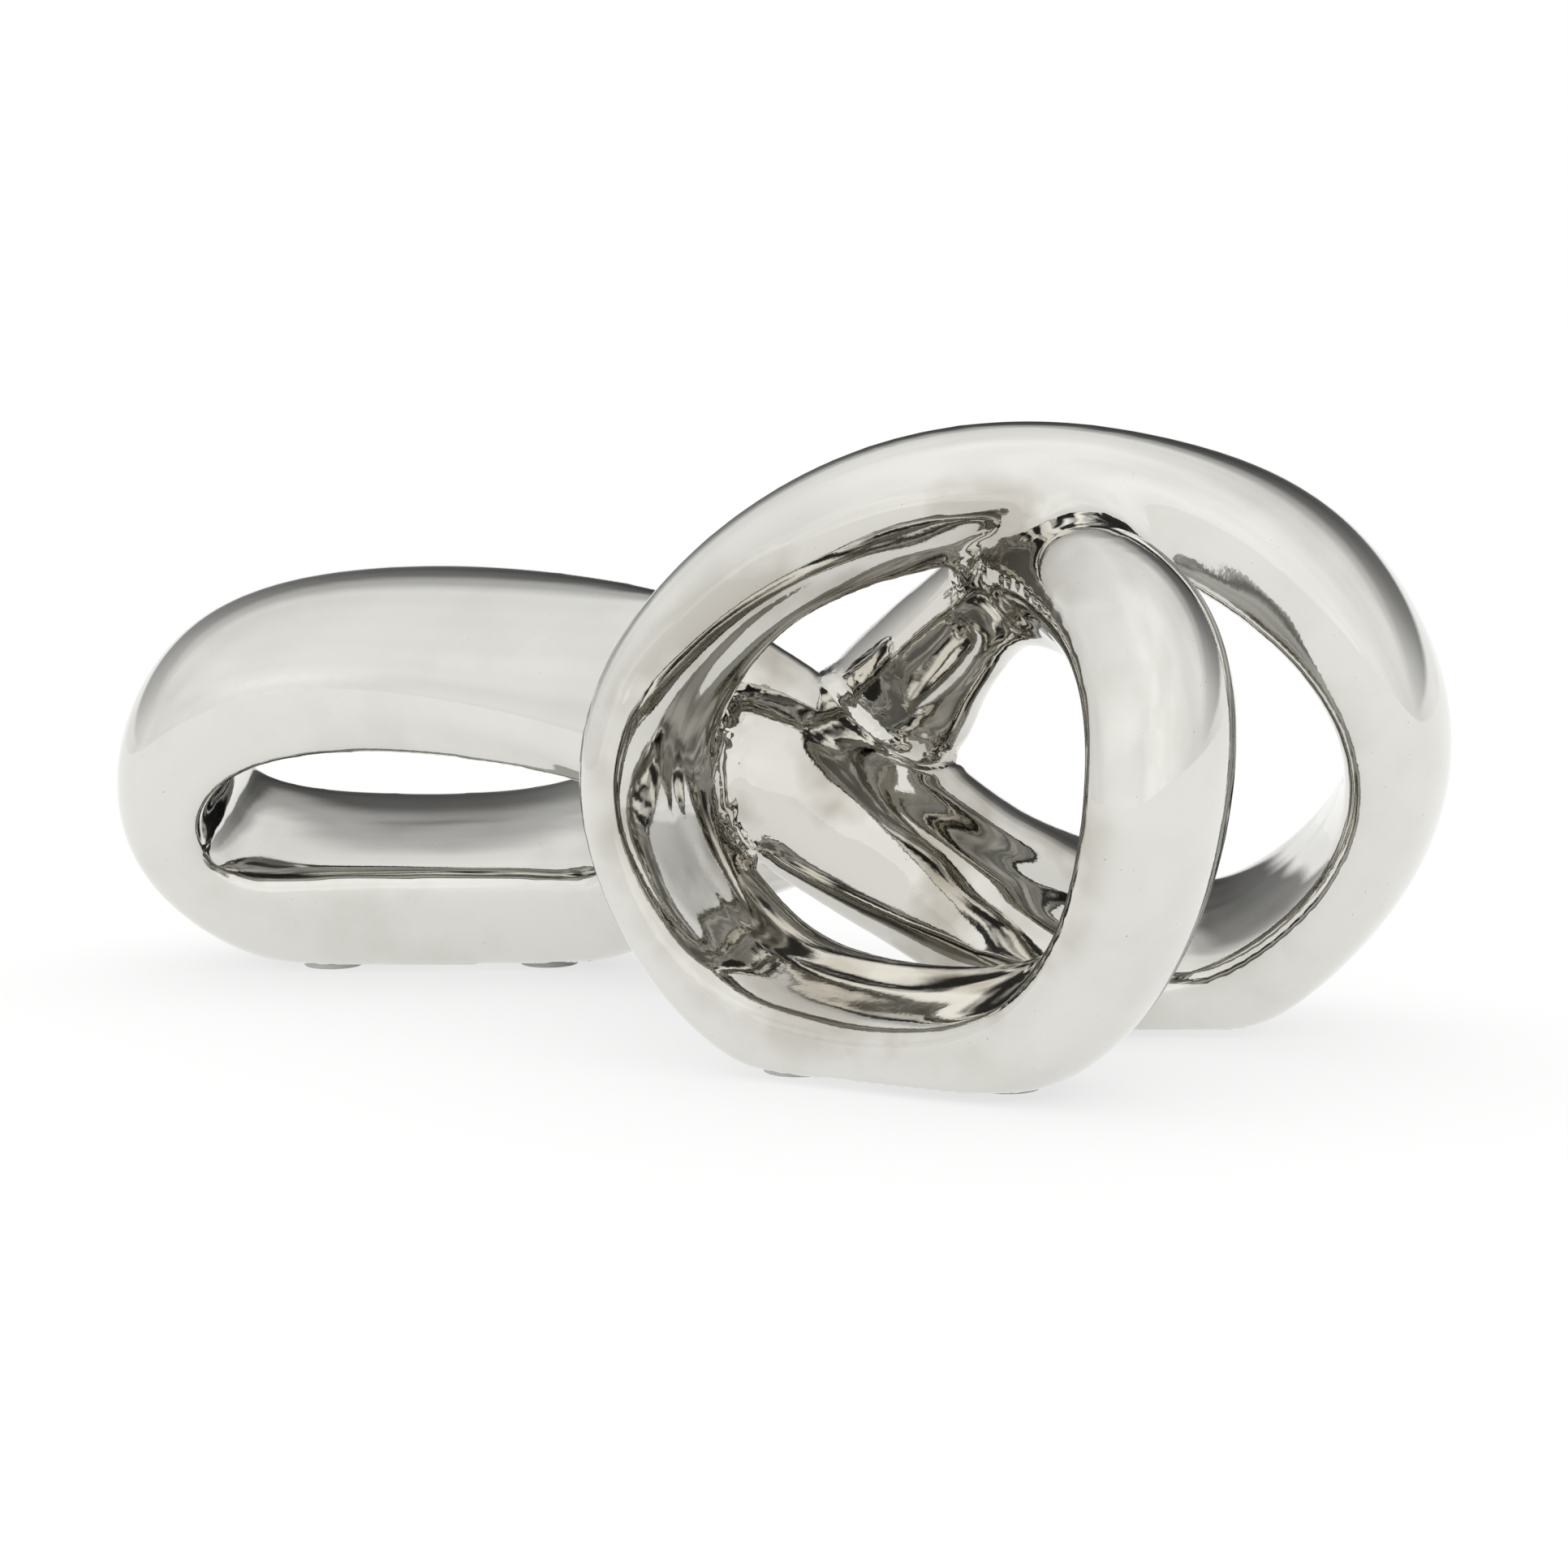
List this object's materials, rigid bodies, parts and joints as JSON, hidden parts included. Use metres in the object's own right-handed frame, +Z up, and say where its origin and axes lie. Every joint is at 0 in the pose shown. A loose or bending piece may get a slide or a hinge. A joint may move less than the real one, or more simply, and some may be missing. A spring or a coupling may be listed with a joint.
{
  "type": "ceramic infinity loop sculpture",
  "caption": "Endless band of mirror-silver glazed ceramic, bent into standing loops that cross and merge, on round bumper pads.",
  "frame": {"origin": "on the table, under the middle of the sculpture's outline", "axes": "+Z up from the table, -Y towards the viewer in front of the nearest loop, +X to that viewer's right"},
  "size_m": [0.3412, 0.2426, 0.1516],
  "materials": {
    "silver_glaze": "mirror metallic glaze",
    "pad_vinyl": "translucent satin"
  },
  "bodies": {
    "root": {"right_loop": "silver_glaze", "front_loop": "silver_glaze", "cross_bridge": "silver_glaze", "rear_bridge": "silver_glaze", "left_loop": "silver_glaze", "front_pad_left": "pad_vinyl", "front_pad_right": "pad_vinyl", "left_pad_left": "pad_vinyl", "left_pad_right": "pad_vinyl", "right_pad_left": "pad_vinyl", "right_pad_right": "pad_vinyl"}
  },
  "joints": []
}
